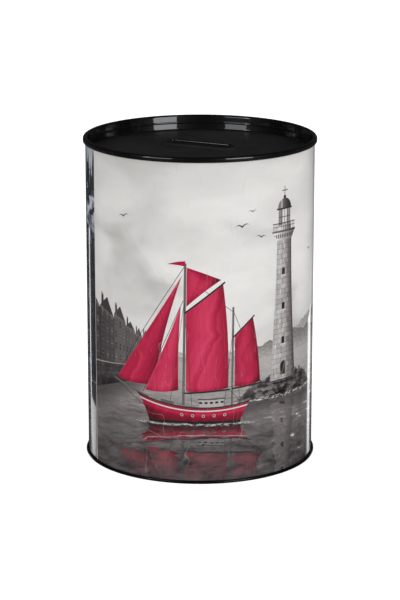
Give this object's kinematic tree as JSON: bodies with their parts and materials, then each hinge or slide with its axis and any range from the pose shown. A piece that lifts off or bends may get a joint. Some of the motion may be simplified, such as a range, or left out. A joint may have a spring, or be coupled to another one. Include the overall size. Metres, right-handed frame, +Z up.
{
  "type": "money box",
  "caption": "Round tinplate money box: a printed wrap with a lock seam, a base seamed onto its foot, and a black plug lid with a coin slot that lifts off.",
  "frame": {"origin": "centre of the foot's ring, on the surface that the tin stands on", "axes": "+Z up along the tin's axis, +X along the coin slot"},
  "size_m": [0.1071, 0.107, 0.15],
  "materials": {
    "printed_tinplate": "gloss",
    "black_lacquer": "satin"
  },
  "bodies": {
    "tin": {"body_wrap": "printed_tinplate", "base": "black_lacquer"},
    "lid": {"lid": "black_lacquer"}
  },
  "joints": [
    {"name": "lid_lift", "type": "slide", "parent": "tin", "child": "lid", "axis": [0, 0, 1], "range_m": [0, 0.06]}
  ]
}
